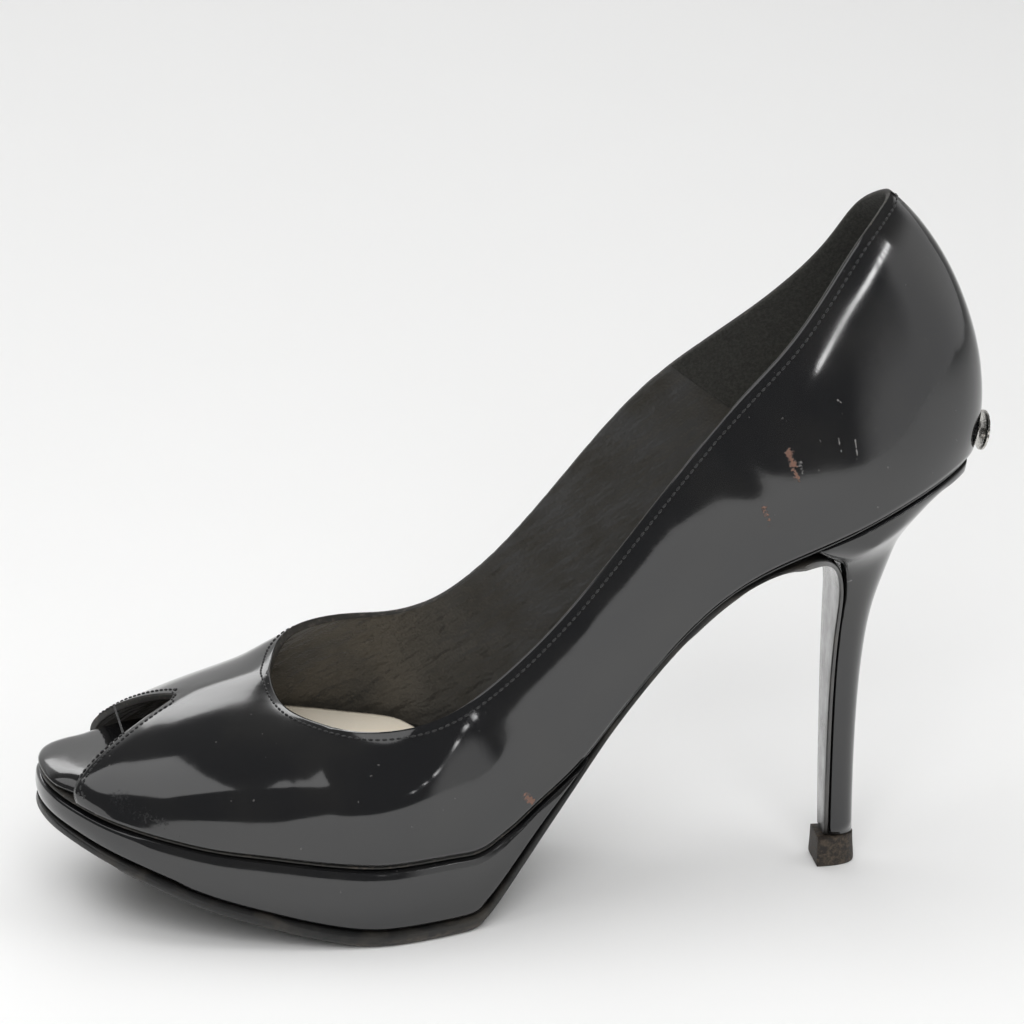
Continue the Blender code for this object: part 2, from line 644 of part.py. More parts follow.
def build_upper(coll):
    """One shell: both sides meet on the ridge between peep toe and throat and at the back."""
    outer_side, outer_normal = side_columns(OUTER_SIDE, 0)
    inner_side, inner_normal = side_columns(INNER_SIDE, 1)
    count = len(outer_side)
    ridge = THROAT_AT - OPENING_AT
    rows = PROFILE_STEPS + 1
    ids = np.zeros((2, count, rows), dtype=int)
    points = []
    feet = []
    for side, grid in enumerate((outer_side, inner_side)):
        for k in range(count):
            for j in range(rows):
                if side == 1 and j == rows - 1 and k <= ridge:
                    ids[1, k, j] = ids[0, k, j]
                    continue
                ids[side, k, j] = len(points)
                points.append(grid[k, j])
                if j == 0:
                    feet.append((len(points) - 1, side, k))
    faces = []
    for side in range(2):
        for k in range(count - 1):
            for j in range(rows - 1):
                quad = (ids[side, k, j], ids[side, k + 1, j],
                        ids[side, k + 1, j + 1], ids[side, k, j + 1])
                faces.append(quad if side == 0 else quad[::-1])
    for j in range(rows - 1):
        faces.append((ids[0, count - 1, j], ids[1, count - 1, j],
                      ids[1, count - 1, j + 1], ids[0, count - 1, j + 1]))
    points = np.array(points)
    normals = vertex_normals(points, faces)
    inside = points - normals * WALL
    plan_normals = (outer_normal, inner_normal)
    for vertex, side, k in feet:
        x = points[vertex, 0] - WALL * plan_normals[side][k, 0]
        y = points[vertex, 1] - WALL * plan_normals[side][k, 1]
        inside[vertex] = (x, y, height(SOLE_LINE, x))
    total = len(points)
    shell = [tuple(f) for f in faces]
    shell.extend(tuple(v + total for v in f[::-1]) for f in faces)
    edges = {}
    for face in faces:
        for a, b in zip(face, face[1:] + face[:1]):
            edges[(a, b)] = edges.get((a, b), 0) + 1
    for a, b in edges:
        if (b, a) not in edges:
            shell.append((b, a, a + total, b + total))
    shell = [tuple(int(v) for v in f) for f in shell]
    return make_solid("upper", np.concatenate((points, inside)), shell, coll)


def vertex_normals(points, faces):
    normals = np.zeros_like(points)
    for face in faces:
        a, b, c, d = (points[v] for v in face)
        across = np.cross(c - a, d - b)
        for v in face:
            normals[v] += across
    normals /= np.maximum(np.linalg.norm(normals, axis=1), 1e-12)[:, None]
    return normals


# Heel, top lift and plate

def rounded_back(share):
    """Half width of a heel section from its flat breast (0) to its back (1)."""
    share = np.clip(share, 0.0, 1.0)
    return (1.0 - share ** 2.6) ** (1.0 / 2.0)


def heel_loop(section, shares, seat_outer, seat_inner, seat_z, lowest=None):
    back, front, back_z, front_z, half, seat = section
    front_x = to_x(front) + (FLAP + CLEARANCE)
    back_x = to_x(back)
    x = front_x + (back_x - front_x) * shares
    width = half * BALL_WIDTH * rounded_back(shares * 0.995)
    z = (front_z + (back_z - front_z) * shares) * SEAT_RISE
    if lowest is not None:
        z = np.full(len(shares), lowest)
    mouth = HEEL_MOUTH if seat < 1.0 else 0.2 * HEEL_MOUTH
    cup = 1.0 - mouth * np.clip(1.0 - shares / 0.35, 0.0, 1.0) ** 1.5
    outer = -width * (1.0 - seat) + seat_outer * seat * cup
    inner = width * (1.0 - seat) + seat_inner * seat * cup
    if seat_z is not None:
        z = seat_z
    loop = list(zip(x, outer, z))
    loop.extend(zip(x[::-1], inner[::-1], z[::-1]))
    return loop


def build_heel(coll):
    first = HEEL_SECTIONS[0]
    front_x = float(to_x(first[1])) + FLAP + CLEARANCE
    back_x = float(to_x(first[0]))
    xs = STATION_X[(STATION_X > front_x + 0.0008) & (STATION_X < back_x - 0.0002)]
    xs = np.concatenate(([front_x], xs, [back_x]))
    shares = (xs - front_x) / (back_x - front_x)
    edges = inset_edges(fixed(0.0006), fixed(0.0006), xs)
    seat_z = height(MIDSOLE_LOW, xs) - CLEARANCE
    verts = []
    verts.extend(heel_loop(first, shares, edges[0], edges[1], seat_z))
    rim = seat_z - np.linspace(0.0010, 0.0022, len(xs))
    rim_section = (first[0] - 0.001, first[1] + 0.002) + first[2:]
    verts.extend(heel_loop(rim_section, shares, edges[0] + 0.0004, edges[1] - 0.0004, rim))
    for section in HEEL_SECTIONS[1:]:
        verts.extend(heel_loop(section, shares, edges[0], edges[1], None))
    last = HEEL_SECTIONS[-1][:4] + (0.5 * HEEL_TIP / BALL_WIDTH, 0.0)
    verts.extend(heel_loop(last, shares, edges[0], edges[1], None, LIFT + CLEARANCE))
    return loft("heel", verts, len(xs), len(HEEL_SECTIONS) + 2, coll)


def build_top_lift(coll):
    shares = (1.0 - np.cos(np.linspace(0.0, math.pi, 17))) / 2.0
    last = HEEL_SECTIONS[-1]
    front_x = float(to_x(FLAP_LINE[-1][0])) - LIFT_LIP
    back_x = float(to_x(last[0]))
    verts = []
    for z, grow in ((0.0, 0.0003), (0.0005, 0.0006), (0.55 * LIFT, 0.0003), (LIFT, 0.0002)):
        x = front_x - grow + (back_x - front_x + 2.0 * grow) * shares
        width = (0.5 * HEEL_TIP + grow) * rounded_back(shares * 0.998)
        verts.extend(zip(x, -width, np.full(17, z)))
        verts.extend(zip(x[::-1], width[::-1], np.full(17, z)))
    return loft("top_lift", verts, 17, 4, coll)


def back_line(z_above):
    """Back of the upper in the middle plane: place behind the seat at a height above it."""
    points, _ = side_columns(OUTER_SIDE, 0)
    last = points[-1]
    return np.interp(float(height(SOLE_LINE, STATION_X[-1])) + z_above, last[:, 2], last[:, 0])


def build_heel_plate(coll):
    """Plain oval plate on two round posts, standing just off the back of the upper."""
    half_high = 0.073 * COLLAR_RISE
    half_wide = 1.45 * half_high
    gap = 0.0008
    thick = 0.0009
    centre_z = float(height(SOLE_LINE, STATION_X[-1])) + 0.055 * COLLAR_RISE
    above = centre_z - float(height(SOLE_LINE, STATION_X[-1]))
    low = back_line(above - half_high * 0.6)
    high = back_line(above + half_high * 0.6)
    lean = math.atan2(high - low, 1.2 * half_high)
    centre_x = back_line(above)
    points = []
    rings = 36

    def place(out, y, z):
        points.append((centre_x + out * math.cos(lean) + z * math.sin(lean),
                       y, centre_z + z * math.cos(lean) - out * math.sin(lean)))

    posts = []
    for side in (-1.0, 1.0):
        posts.append((side * 0.45 * half_wide, 0.0012))
    levels = ((gap, 0.88), (gap + 0.25 * thick, 1.0), (gap + 0.75 * thick, 1.0), (gap + thick, 0.86))
    for out, size in levels:
        for i in range(rings):
            a = 2.0 * math.pi * i / rings
            place(out, half_wide * size * math.cos(a), half_high * size * math.sin(a))
    faces = []
    for r in range(len(levels) - 1):
        for i in range(rings):
            j = (i + 1) % rings
            faces.append((r * rings + i, r * rings + j, (r + 1) * rings + j, (r + 1) * rings + i))
    faces.append(tuple(range((len(levels) - 1) * rings, len(levels) * rings)))
    faces.append(tuple(reversed(range(rings))))
    plate = make_solid("heel_plate", points, faces, coll)
    for y, radius in posts:
        join_post(plate, y, radius, centre_x, centre_z, lean, CLEARANCE, gap + 0.3 * thick)
    return plate


def join_post(plate, y, radius, centre_x, centre_z, lean, start, end):
    cutters = make_collection(CUTTER_COLLECTION, cutter=True)
    mesh = bpy.data.meshes.new("Post")
    bm = bmesh.new()
    bmesh.ops.create_cone(bm, cap_ends=True, segments=16, radius1=radius, radius2=radius,
                          depth=end - start)
    for v in bm.verts:
        out = v.co.z + 0.5 * (start + end)
        z = v.co.x
        side = v.co.y
        v.co = (centre_x + out * math.cos(lean) + z * math.sin(lean), y + side,
                centre_z + z * math.cos(lean) - out * math.sin(lean))
    bmesh.ops.recalc_face_normals(bm, faces=bm.faces)
    bm.to_mesh(mesh)
    bm.free()
    post = bpy.data.objects.new("Post", mesh)
    post.hide_render = True
    post.display_type = "WIRE"
    cutters.objects.link(post)
    union = plate.modifiers.new("Post", "BOOLEAN")
    union.operation = "UNION"
    union.solver = "EXACT"
    union.object = post


def build():
    clear_scene()
    coll = make_collection(PIECE_COLLECTION)
    build_upper(coll)
    build_insole(coll)
    build_sock(coll)
    build_midsole(coll)
    build_platform(coll)
    build_outsole(coll)
    build_heel(coll)
    build_top_lift(coll)
    build_heel_plate(coll)


build()
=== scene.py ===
import math

import bmesh
import bpy
from mathutils import Matrix, Vector, noise
from mathutils.bvhtree import BVHTree
from mathutils.kdtree import KDTree


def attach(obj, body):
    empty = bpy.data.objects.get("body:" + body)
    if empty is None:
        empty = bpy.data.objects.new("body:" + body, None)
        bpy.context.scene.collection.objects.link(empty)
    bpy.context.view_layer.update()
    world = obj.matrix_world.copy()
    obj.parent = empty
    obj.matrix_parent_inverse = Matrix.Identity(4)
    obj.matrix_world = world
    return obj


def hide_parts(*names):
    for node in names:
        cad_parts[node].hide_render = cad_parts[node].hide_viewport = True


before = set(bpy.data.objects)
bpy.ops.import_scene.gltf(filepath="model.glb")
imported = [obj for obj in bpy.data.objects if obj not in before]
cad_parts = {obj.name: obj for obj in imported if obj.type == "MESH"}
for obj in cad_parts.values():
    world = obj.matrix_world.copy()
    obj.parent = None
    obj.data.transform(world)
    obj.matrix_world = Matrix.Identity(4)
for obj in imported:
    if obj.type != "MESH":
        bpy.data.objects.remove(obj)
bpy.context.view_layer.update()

# The room. The shoe stands on a pale paper sweep that curves up behind it, as in a product
# photograph. The camera is far away with a long lens, above the shoe and to its toe side.

EYE = Vector((-0.16217, -1.32477, 0.51729))
AIM = Vector((0.02329, -0.00513, 0.088155))
LENS = 221.7             # millimetres, as is the sensor
SENSOR = 36.0

lens = bpy.data.cameras.new("Camera")
lens.lens = LENS
lens.sensor_width = SENSOR
camera = bpy.data.objects.new("Camera", lens)
camera.location = EYE
camera.rotation_euler = (AIM - EYE).to_track_quat("-Z", "Y").to_euler()
bpy.context.scene.collection.objects.link(camera)
bpy.context.scene.camera = camera
bpy.context.scene.view_settings.view_transform = "Standard"


class Wire:
    """An output of a node. Arithmetic on it adds Math nodes to the tree that owns it."""

    def __init__(self, owner, socket):
        self.owner = owner
        self.socket = socket

    def maths(self, operation, first, second):
        return self.owner.node("ShaderNodeMath", {"operation": operation}, {0: first, 1: second})

    def __add__(self, other):
        return self.maths("ADD", self, other)

    def __radd__(self, other):
        return self.maths("ADD", other, self)

    def __sub__(self, other):
        return self.maths("SUBTRACT", self, other)

    def __rsub__(self, other):
        return self.maths("SUBTRACT", other, self)

    def __mul__(self, other):
        return self.maths("MULTIPLY", self, other)

    def __rmul__(self, other):
        return self.maths("MULTIPLY", other, self)

    def __truediv__(self, other):
        return self.maths("DIVIDE", self, other)

    def above(self, other):
        return self.maths("MAXIMUM", self, other)

    def below(self, other):
        return self.maths("MINIMUM", self, other)

    def size(self):
        return self.maths("ABSOLUTE", self, 0.0)

    def ramp(self, low, high, start=0.0, end=1.0):
        """Smoothly from start at low to end at high."""
        settings = {"interpolation_type": "SMOOTHSTEP"}
        values = {"Value": self, "From Min": low, "From Max": high, "To Min": start, "To Max": end}
        return self.owner.node("ShaderNodeMapRange", settings, values)


class Tree:
    """A node tree to which nodes are added with their settings, values and links."""

    def __init__(self, tree):
        self.tree = tree

    def node(self, kind, settings, values, output=0):
        made = self.tree.nodes.new(kind)
        for key, value in settings.items():
            setattr(made, key, value)
        for key, value in values.items():
            if isinstance(value, Wire):
                self.tree.links.new(value.socket, made.inputs[key])
            else:
                made.inputs[key].default_value = value
        return Wire(self, made.outputs[output])

    def axis(self, vector, index):
        return self.node("ShaderNodeSeparateXYZ", {}, {0: vector}, index)


class Finish(Tree):
    """A material with one Principled shader, and the few ways its patterns are made."""

    def __init__(self, name, **constants):
        self.material = bpy.data.materials.new(name)
        self.material.use_nodes = True
        super().__init__(self.material.node_tree)
        self.shader = self.tree.nodes["Principled BSDF"]
        for key, value in constants.items():
            self.shader.inputs[key.replace("_", " ")].default_value = value
        self.place = self.node("ShaderNodeTexCoord", {}, {}, "Object")

    def feed(self, name, wire):
        self.tree.links.new(wire.socket, self.shader.inputs[name])

    def mix(self, share, first, second):
        return self.node("ShaderNodeMix", {"data_type": "RGBA"}, {0: share, 6: first, 7: second}, 2)

    def stretched(self, lengths, turn=(0.0, 0.0, 0.0)):
        """The place in turned axes, drawn out along them by the given lengths."""
        settings = {"vector_type": "TEXTURE"}
        return self.node("ShaderNodeMapping", settings, {0: self.place, 2: turn, 3: lengths})

    def cloud(self, size, detail=3.0, rough=0.5, place=None):
        """Noise with patches of about the given size in metres."""
        values = {"Vector": place or self.place, "Scale": 1.0 / size, "Detail": detail,
                  "Roughness": rough}
        return self.node("ShaderNodeTexNoise", {}, values)

    def pebbles(self, size):
        """Rounded cells of about the given size in metres."""
        return self.node("ShaderNodeTexVoronoi", {}, {"Vector": self.place, "Scale": 1.0 / size})

    def along(self, index):
        return self.axis(self.place, index)

    def mark(self, start, end, width):
        """One where the surface lies within width of the stroke from start to end, in metres."""
        start = Vector(start)
        run = Vector(end) - start
        vector = "ShaderNodeVectorMath"
        off = self.node(vector, {"operation": "SUBTRACT"}, {0: self.place, 1: start})
        share = self.node(vector, {"operation": "DOT_PRODUCT"}, {0: off, 1: run}, "Value")
        share = (share * (1.0 / run.length_squared)).above(0.0).below(1.0)
        near = self.node(vector, {"operation": "SCALE"}, {0: run, "Scale": share})
        gap = self.node(vector, {"operation": "DISTANCE"}, {0: off, 1: near}, "Value")
        ragged = self.cloud(0.0006, 2.0) - 0.5
        return (gap + ragged * width * 1.9).ramp(width * (1.0 - share * 0.5), 0.30 * width)

    def marks(self, strokes):
        """The strokes of a table together, each with its start, end and width."""
        drawn = None
        for stroke in strokes:
            one = self.mark(*stroke)
            drawn = one if drawn is None else drawn.above(one)
        return drawn

    def relief(self, height, reach):
        self.feed("Normal", self.node("ShaderNodeBump", {}, {"Height": height, "Distance": reach}))


PAPER = (0.88, 0.88, 0.875, 1.0)
SWEEP_HALF_WIDTH = 4.0
SWEEP_ROWS = ((-0.50, 0.0), (1.2, 0.0), (1.7, 0.06), (2.1, 0.28), (2.35, 0.7), (2.4, 1.1))    # y, z

sweep = Finish("Pale_sweep", Base_Color=PAPER)
sweep.feed("Roughness", sweep.cloud(0.05).ramp(0.3, 0.7, 0.70, 0.80))

floor_mesh = bpy.data.meshes.new("Floor")
floor_points = [(side * SWEEP_HALF_WIDTH, y, z) for y, z in SWEEP_ROWS for side in (-1, 1)]
floor_faces = [(2 * k, 2 * k + 1, 2 * k + 3, 2 * k + 2) for k in range(len(SWEEP_ROWS) - 1)]
floor_mesh.from_pydata(floor_points, [], floor_faces)
floor_mesh.materials.append(sweep.material)
floor_mesh.shade_smooth()
floor = bpy.data.objects.new("Floor", floor_mesh)
bpy.context.scene.collection.objects.link(floor)

# Studio light. The sweep ends in front of the shoe, so the leather mirrors a pale floor low down and
# a dark room above it. Soft boxes hang overhead, behind, at the toe end and over the camera, and a
# thin strip to the heel side of the camera draws the streak on the quarter.

# Each box has its name, place, target, size, radiance, long side and whether the leather mirrors it.
BOXES = (
    ("Overhead_box", (0.0, 0.30, 1.6), (0.0, 0.30, 0.0), (2.8, 2.4), 1.12, (1.0, 0.0, 0.0), False),
    ("Back_box", (0.0, 1.45, 0.80), (-0.04, 0.0, 0.05), (0.70, 0.35), 1.9, (1.0, 0.0, 0.0), True),
    ("Toe_box", (-0.85, -0.05, 1.30), (0.0, 0.0, 0.0), (1.8, 0.8), 1.15, (0.0, 1.0, 0.0), True),
)
FRONT_FILL = ("Front_fill", (-0.10, -1.30, 0.90), (0.0, 0.0, 0.06), (1.0, 1.0), 5.0,
              (1.0, 0.0, 0.0), False)
STRIP_START = Vector((0.435, -1.036, 0.365))
STRIP_RUN = Vector((0.0975, 0.093, 0.0675))      # from the middle of one part to the next
STRIP_PARTS = 7
STRIP_PART_SIZE = (0.15, 0.07)
STRIP_TARGET = (0.10, -0.02, 0.135)
STRIP_RADIANCE = 14.0
HALF_SPREAD = math.radians(6.0)                  # narrow, so that it hardly lights the vamp


def soft_box(name, place, target, size, radiance, along, mirrored):
    """A rectangular light that faces its target, with its long side along the given direction."""
    light = bpy.data.lights.new(name, "AREA")
    light.shape = "RECTANGLE"
    light.size, light.size_y = size
    light.energy = radiance * math.pi * size[0] * size[1]
    back = (Vector(place) - Vector(target)).normalized()
    side = (Vector(along) - back * back.dot(Vector(along))).normalized()
    turn = Matrix((side, back.cross(side), back)).transposed()
    box = bpy.data.objects.new(name, light)
    box.matrix_world = Matrix.Translation(place) @ turn.to_4x4()
    box.visible_glossy = mirrored
    bpy.context.scene.collection.objects.link(box)
    return box


for row in BOXES:
    soft_box(*row)
for k in range(STRIP_PARTS):
    share = 1.0 - HALF_SPREAD / math.tan(HALF_SPREAD)      # a narrow spread gathers the light
    strip = soft_box(f"Quarter_strip_{k + 1}", STRIP_START + STRIP_RUN * k, STRIP_TARGET,
                     STRIP_PART_SIZE, STRIP_RADIANCE * share, STRIP_RUN, True)
    strip.data.spread = 2.0 * HALF_SPREAD
soft_box(*FRONT_FILL)

ROOM_LIGHT = 0.11        # radiance of the dark room
SEEN_LIGHT = 0.86        # what the camera sees past the sweep
HEEL_CARD = 0.60         # pale cards low down behind the heel and behind the shoe
BACK_CARD = 0.45

world = bpy.data.worlds.new("Room")
world.use_nodes = True
bpy.context.scene.world = world
ground = world.node_tree.nodes["Background"]
ground.inputs["Color"].default_value = (1.0, 1.0, 1.0, 1.0)
room = Tree(world.node_tree)
way = room.node("ShaderNodeTexCoord", {}, {}, "Generated")
cards = room.axis(way, "X").ramp(0.50, 0.70, 0.0, HEEL_CARD)
cards = cards + room.axis(way, "Y").ramp(0.55, 0.80, 0.0, BACK_CARD)
cards = cards * room.axis(way, "Z").ramp(0.40, 0.62, 1.0, 0.0)
seen = room.node("ShaderNodeLightPath", {}, {}, "Is Camera Ray") * SEEN_LIGHT
world.node_tree.links.new((cards + ROOM_LIGHT).above(seen).socket, ground.inputs["Strength"])

# The upper. Patent leather pulled over a last: quarters, vamp and toe strap in one skin, lined with
# black kid at the front and brushed suede round the heel, its cut edges inked and stitched.

LINE = [Vector(p) for p in ((-0.078, 0.004, 0.033), (-0.030, 0.003, 0.034), (0.000, 0.001, 0.045),
                            (0.040, -0.001, 0.080), (0.080, -0.001, 0.112), (0.104, 0.0, 0.125))]


def middle_of_foot(point):
    """Nearest point on the line that runs through the middle of the foot."""
    best = None
    for start, end in zip(LINE, LINE[1:]):
        run = end - start
        share = min(max((point - start).dot(run) / run.length_squared, 0.0), 1.0)
        near = start + run * share
        gap = (point - near).length
        if best is None or gap < best[0]:
            best = (gap, near)
    return best[1]


SHARP = 42.0             # degrees at which an edge counts as sharp
UPPER_SHARP = 38.0
JOIN_FOLD = math.radians(32)
JOIN_SHAPE = math.radians(70)


def merged(node, edge, sharp=SHARP):
    """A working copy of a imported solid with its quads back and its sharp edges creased."""
    shape = bmesh.new()
    shape.from_mesh(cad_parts[node].data)
    bmesh.ops.remove_doubles(shape, verts=shape.verts, dist=1e-6)
    bmesh.ops.join_triangles(shape, faces=shape.faces, angle_face_threshold=JOIN_FOLD,
                             angle_shape_threshold=JOIN_SHAPE)
    hard = shape.edges.layers.float.new("crease_edge")
    for side in shape.edges:
        if len(side.link_faces) == 2 and side.calc_face_angle() > math.radians(sharp):
            side[hard] = edge
    return shape


ROUNDING_LEVELS = 2


def settled(shape, name, finishes, alter=None):
    """Turns the working copy into a smooth finished piece with its finishes."""
    mesh = bpy.data.meshes.new(name)
    shape.to_mesh(mesh)
    shape.free()
    for finish in finishes:
        mesh.materials.append(finish.material)
    draft = bpy.data.objects.new(name + "_draft", mesh)
    bpy.context.scene.collection.objects.link(draft)
    rounding = draft.modifiers.new("Rounding", "SUBSURF")
    rounding.levels = ROUNDING_LEVELS
    rounding.render_levels = ROUNDING_LEVELS
    seen = draft.evaluated_get(bpy.context.evaluated_depsgraph_get())
    final = bpy.data.meshes.new_from_object(seen)
    bpy.data.objects.remove(draft)
    final.name = name
    if alter:
        alter(final)
    final.shade_smooth()
    piece = bpy.data.objects.new(name, final)
    bpy.context.scene.collection.objects.link(piece)
    return piece


OPEN_EDGE = 9.0          # the angle reported for an edge with one face, so that it counts as sharp


def skins(shape, sharp):
    """Sets of faces that meet without a sharp edge, the largest first."""
    left = set(shape.faces)
    found = []
    while left:
        seed = left.pop()
        group = {seed}
        queue = [seed]
        while queue:
            face = queue.pop()
            for side in face.edges:
                if side.calc_face_angle(OPEN_EDGE) > math.radians(sharp):
                    continue
                for other in side.link_faces:
                    if other in left:
                        left.remove(other)
                        group.add(other)
                        queue.append(other)
        found.append(group)
    return sorted(found, key=lambda group: -sum(face.calc_area() for face in group))


RUBS = (                 # each with its start, end and width, as are the nicks
    ((0.0820, -0.0243, 0.1054), (0.0838, -0.0248, 0.0991), 0.0011),
    ((0.0763, -0.0246, 0.0931), (0.0779, -0.0246, 0.0893), 0.0010),
    ((0.0223, -0.0299, 0.0308), (0.0246, -0.0290, 0.0282), 0.0013),
)
NICKS = (
    ((0.0845, -0.0246, 0.1031), (0.0851, -0.0248, 0.0995), 0.0006),
    ((0.0889, -0.0241, 0.1079), (0.0894, -0.0244, 0.1045), 0.00026),
    ((0.0930, -0.0238, 0.1080), (0.0937, -0.0241, 0.1049), 0.00026),
    ((0.0969, -0.0234, 0.1073), (0.0974, -0.0237, 0.1039), 0.00026),
    ((0.0931, -0.0226, 0.1164), (0.0940, -0.0226, 0.1156), 0.00026),
    ((-0.0226, -0.0406, 0.0245), (-0.0215, -0.0410, 0.0232), 0.00026),
    ((-0.0122, -0.0372, 0.0315), (-0.0119, -0.0372, 0.0309), 0.00026),
    ((0.0147, -0.0318, 0.0354), (0.0150, -0.0318, 0.0348), 0.00026),
    ((-0.0218, -0.0306, 0.0378), (-0.0216, -0.0306, 0.0375), 0.00026),
    ((0.0960, -0.0112, 0.0697), (0.0992, -0.0113, 0.0707), 0.00026),
)
TOE_DULL = ((-0.0666, -0.0259, 0.0319), (-0.0573, -0.0321, 0.0290), 0.0030)
VAMP_DULL = ((-0.0200, -0.0300, 0.0385), (0.0030, -0.0315, 0.0405), 0.0050)

patent = Finish("Black_patent", IOR=1.70, Coat_IOR=1.5, Coat_Roughness=0.03)
grain = patent.cloud(0.00055, 2.0)
wave = patent.cloud(0.009, 2.0)
haze = patent.cloud(0.018, 4.0)
rubs = patent.marks(RUBS)
nicks = patent.marks(NICKS)
dull = patent.mark(*TOE_DULL).above(patent.mark(*VAMP_DULL) * 0.6)
dust = patent.cloud(0.0009, 0.0).ramp(0.86, 0.88)
skin = patent.mix(haze.ramp(0.35, 0.75), (0.0062, 0.0064, 0.0072, 1.0), (0.0100, 0.0098, 0.0096, 1.0))
skin = patent.mix(rubs * 0.9, skin, (0.170, 0.078, 0.048, 1.0))
skin = patent.mix((nicks * 0.55).above(dust * 0.2), skin, (0.30, 0.29, 0.28, 1.0))
patent.feed("Base Color", skin)
patent.feed("Roughness", haze.ramp(0.3, 0.8, 0.085, 0.15) + rubs * 0.45 + nicks * 0.3 + dull * 0.22)
patent.feed("Coat Weight", 0.30 - (rubs + dull).below(1.0) * 0.28)
back_seam = patent.along("Y").size().ramp(0.0006, 0.0001) * patent.along("X").ramp(0.100, 0.104)
back_seam = back_seam * patent.along("Z").ramp(0.100, 0.104)
patent.relief(grain * 0.010 + wave * 0.13 - rubs * 0.12 + nicks * 0.04 - back_seam * 0.6, 0.0004)

GRIP_SLOPE = 1.26        # the grip lies behind the slanting line where x + slope * z is GRIP_START
GRIP_START = 0.2051
GRIP_FULL = 0.2056

lining = Finish("Kid_lining_and_suede_grip", IOR=1.50, Sheen_Weight=0.20, Sheen_Roughness=0.45)
grip = (lining.along("X") + lining.along("Z") * GRIP_SLOPE).ramp(GRIP_START, GRIP_FULL)
pores = lining.pebbles(0.0007)
fold = lining.cloud(0.0046, 2.0, 0.5, lining.stretched((2.2, 1.0, 0.65), (0.0, -0.62, 0.0)))
nap = lining.cloud(0.0007, 3.0, 0.7)
worn = lining.cloud(0.012, 4.0)
forward = lining.along("X").ramp(0.030, -0.010)
hide = lining.mix(forward, (0.045, 0.045, 0.045, 1.0), (0.050, 0.043, 0.032, 1.0))
hide = lining.mix(worn.ramp(0.3, 0.8), hide, (0.030, 0.028, 0.024, 1.0))
brushed = lining.mix(nap.ramp(0.3, 0.75), (0.021, 0.021, 0.0195, 1.0), (0.044, 0.044, 0.040, 1.0))
lining.feed("Base Color", lining.mix(grip, hide, brushed))
lining.feed("Roughness", worn.ramp(0.25, 0.8, 0.34, 0.48) * (1.0 - grip) + grip * 0.90)
lining.relief((pores * 0.35 + fold * 4.0) * (1.0 - grip) + grip * (nap * 0.45 + 1.5), 0.00040)

ink = Finish("Inked_edge", IOR=1.5)
chalk = ink.cloud(0.0012, 4.0, 0.65)
ink.feed("Base Color", ink.mix(chalk.ramp(0.50, 0.75), (0.018, 0.017, 0.015, 1.0),
                               (0.085, 0.072, 0.060, 1.0)))
ink.feed("Roughness", chalk.ramp(0.3, 0.8, 0.38, 0.62))
ink.relief(chalk, 0.0001)

CREASES = (              # middle, direction along the fold, length, width, depth
    ((0.0685, -0.0238, 0.1090), (0.35, 0.0, -0.94), 0.016, 0.0045, 0.00035),
    ((0.0720, -0.0240, 0.1010), (0.75, 0.0, -0.66), 0.014, 0.0040, 0.00025),
    ((0.0100, -0.0330, 0.0400), (0.80, 0.2, 0.55), 0.022, 0.0060, 0.00030),
    ((0.0200, -0.0300, 0.0480), (0.75, 0.2, 0.62), 0.024, 0.0060, 0.00028),
    ((-0.0500, -0.0230, 0.0370), (0.90, -0.3, 0.20), 0.026, 0.0080, 0.00025),
    ((-0.0250, -0.0300, 0.0385), (0.95, -0.1, 0.05), 0.030, 0.0080, 0.00022),
    ((0.0120, 0.0360, 0.0420), (0.80, -0.2, 0.55), 0.022, 0.0060, 0.00030),
    ((0.0600, 0.0235, 0.0950), (0.70, 0.0, 0.70), 0.020, 0.0060, 0.00028),
)
FADE_ALONG = 2.0         # how fast a crease ends along its fold and to its sides
FADE_ACROSS = 1.5
SWELL_PER_METRE = 70.0
SWELL = 0.00008
ROLL_START = 0.058       # from here to the end the quarters bend in towards their cut edge
ROLL_END = 0.124
ROLL_FADE = 0.012
ROLL_LOW = 0.09
ROLL_WIDTH = 0.0095
ROLL_DEPTH = 0.0012


def press_folds(mesh):
    """Presses the creases, lets the leather swell between them and rolls the top edge in."""
    moved = []
    for vertex in mesh.vertices:
        depth = 0.0
        for middle, run, length, width, deep in CREASES:
            off = vertex.co - Vector(middle)
            if off.length > length + width:
                continue
            run = Vector(run).normalized()
            far = off.dot(run) / length
            wide = (off - run * off.dot(run)).length / width
            depth += deep * math.exp(-FADE_ALONG * far * far) * math.exp(-FADE_ACROSS * wide * wide)
        swell = noise.noise(vertex.co * SWELL_PER_METRE) * SWELL
        spot = vertex.co - vertex.normal * (depth - swell)
        inward = min(max((spot.x - ROLL_START) / ROLL_FADE, 0.0), 1.0)
        inward *= min(max((ROLL_END - spot.x) / ROLL_FADE, 0.0), 1.0)
        if inward > 0.0 and spot.z > ROLL_LOW:
            near, away = collar_tree.find(spot)[0::2]
            rise = max(1.0 - away / ROLL_WIDTH, 0.0)
            side = -1.0 if spot.y > 0.0 else 1.0
            spot.y += side * ROLL_DEPTH * inward * rise * rise
        moved.append(spot)
    mesh.vertices.foreach_set("co", [c for point in moved for c in point])
    mesh.update()


shell = merged("upper", 0.80, UPPER_SHARP)
outside, inside = skins(shell, UPPER_SHARP)[:2]
if sum((f.calc_center_median() - middle_of_foot(f.calc_center_median())).dot(f.normal)
       for f in outside) < 0.0:
    outside, inside = inside, outside
for face in shell.faces:
    face.material_index = 0 if face in outside else 1 if face in inside else 2


def into_faces(corner, faces):
    """The way from a corner to the middle of those of its faces that are in the set."""
    near = [face.calc_center_median() - corner.co for face in corner.link_faces if face in faces]
    return sum(near, Vector()) / len(near)


